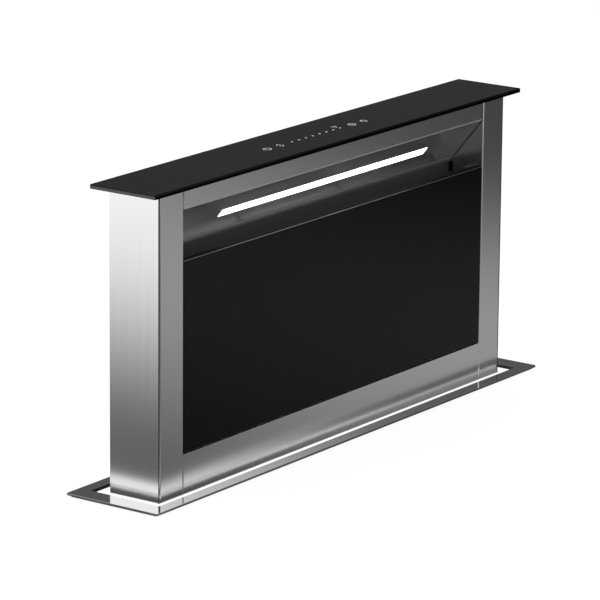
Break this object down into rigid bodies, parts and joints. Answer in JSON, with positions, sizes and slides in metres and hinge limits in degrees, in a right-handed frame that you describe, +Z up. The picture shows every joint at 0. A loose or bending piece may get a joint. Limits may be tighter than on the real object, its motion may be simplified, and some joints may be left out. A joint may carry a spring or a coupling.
{
  "type": "downdraft vent",
  "caption": "Worktop downdraft vent: a steel tower with a black glass door and cap rises through a flange from a chassis that holds its lift and blower.",
  "frame": {"origin": "centre of the worktop opening, on the worktop's top surface under the flange gasket", "axes": "+X along the tower to its right seen from the front, +Y to the back, +Z up"},
  "size_m": [0.887, 0.3554, 1.111],
  "materials": {
    "brushed_steel": "brushed along its length",
    "black_glass": "black, polished",
    "galvanised_steel": "zinc coated",
    "black_plastic": "moulded, fine grain",
    "white_nylon": "machined",
    "black_rubber": "matt",
    "aluminium": "satin",
    "filter_mesh": "layered mesh",
    "circuit_board": "green lacquer",
    "lamp_lens": "frosted, lit from behind",
    "bright_steel": "zinc plated",
    "motor_steel": "black",
    "cast_housing": "die cast",
    "magnet": "nickel plated"
  },
  "bodies": {
    "chassis": {"worktop_flange": "brushed_steel", "worktop_gasket": "black_rubber", "chassis_front_panel": "galvanised_steel", "chassis_back_panel": "galvanised_steel", "chassis_floor": "galvanised_steel", "clamp_brackets": "galvanised_steel", "clamp_screws": "bright_steel", "neck_glides": "white_nylon", "mast_feet": "galvanised_steel", "mast_heads": "galvanised_steel", "idler_axles": "bright_steel", "shaft_bearings": "cast_housing", "lift_gearbox": "cast_housing", "lift_motor": "motor_steel", "volute_back_shell": "black_plastic", "volute_front_shell": "black_plastic", "blower_motor": "motor_steel", "motor_screws": "bright_steel", "outlet_collar": "galvanised_steel", "damper_rod": "bright_steel", "control_box": "black_plastic", "control_box_lid": "black_plastic", "control_board": "circuit_board", "mains_gland": "black_plastic", "chassis_end_left": "galvanised_steel", "chassis_end_right": "galvanised_steel", "mast_left": "aluminium", "mast_right": "aluminium", "lift_belt_left": "black_rubber", "lift_belt_right": "black_rubber"},
    "tower": {"side_panel_left": "brushed_steel", "side_panel_right": "brushed_steel", "front_stile_left": "brushed_steel", "front_stile_right": "brushed_steel", "top_rail": "brushed_steel", "bottom_rail": "brushed_steel", "back_panel": "brushed_steel", "top_plate": "galvanised_steel", "touch_board": "circuit_board", "cap_glass": "black_glass", "led_diffuser": "lamp_lens", "led_channel": "aluminium", "led_board": "circuit_board", "filter_partition": "motor_steel", "drip_tray": "galvanised_steel", "grease_filter_frames": "aluminium", "grease_filter_meshes": "filter_mesh", "door_magnets": "magnet", "carriages": "white_nylon", "belt_clamps": "bright_steel"},
    "door": {"door_glass": "black_glass", "door_frame": "motor_steel", "door_hinge_pins": "bright_steel"},
    "drive_shaft": {"drive_shaft": "bright_steel", "drive_pulleys": "aluminium"},
    "idler_left": {"idler_pulley_left": "white_nylon"},
    "idler_right": {"idler_pulley_right": "white_nylon"},
    "impeller": {"impeller": "black_plastic"},
    "damper_front": {"damper_flap_front": "aluminium"},
    "damper_rear": {"damper_flap_rear": "aluminium"}
  },
  "joints": [
    {"name": "tower_lift", "type": "slide", "parent": "chassis", "child": "tower", "axis": [0, 0, 1], "range_m": [-0.3995, 0]},
    {"name": "drive_shaft_spin", "type": "hinge", "parent": "chassis", "child": "drive_shaft", "pos_m": [0, -0.014, -0.66], "axis": [1, 0, 0], "range_deg": [-1528, 0]},
    {"name": "idler_left_spin", "type": "hinge", "parent": "chassis", "child": "idler_left", "pos_m": [-0.3695, -0.014, -0.034], "axis": [1, 0, 0], "range_deg": [-1528, 0]},
    {"name": "idler_right_spin", "type": "hinge", "parent": "chassis", "child": "idler_right", "pos_m": [0.3695, -0.014, -0.034], "axis": [1, 0, 0], "range_deg": [-1528, 0]},
    {"name": "door_tilt", "type": "hinge", "parent": "tower", "child": "door", "pos_m": [0, -0.0312, 0.0615], "axis": [1, 0, 0], "range_deg": [0, 75]},
    {"name": "impeller_spin", "type": "hinge", "parent": "chassis", "child": "impeller", "pos_m": [0, -0.0752, -0.43], "axis": [0, -1, 0], "continuous": true},
    {"name": "damper_front_swing", "type": "hinge", "parent": "chassis", "child": "damper_front", "pos_m": [0.211, -0.1377, -0.532], "axis": [0, 0, 1], "range_deg": [0, 75], "stiffness_Nm_per_rad": 0.01},
    {"name": "damper_rear_swing", "type": "hinge", "parent": "chassis", "child": "damper_rear", "pos_m": [0.211, -0.1377, -0.532], "axis": [0, 0, -1], "range_deg": [0, 75], "stiffness_Nm_per_rad": 0.01}
  ],
  "couplings": [
    {"joint": "drive_shaft_spin", "follows": "tower_lift", "rad_per_m": 66.667},
    {"joint": "idler_left_spin", "follows": "tower_lift", "rad_per_m": 66.667},
    {"joint": "idler_right_spin", "follows": "tower_lift", "rad_per_m": 66.667}
  ]
}
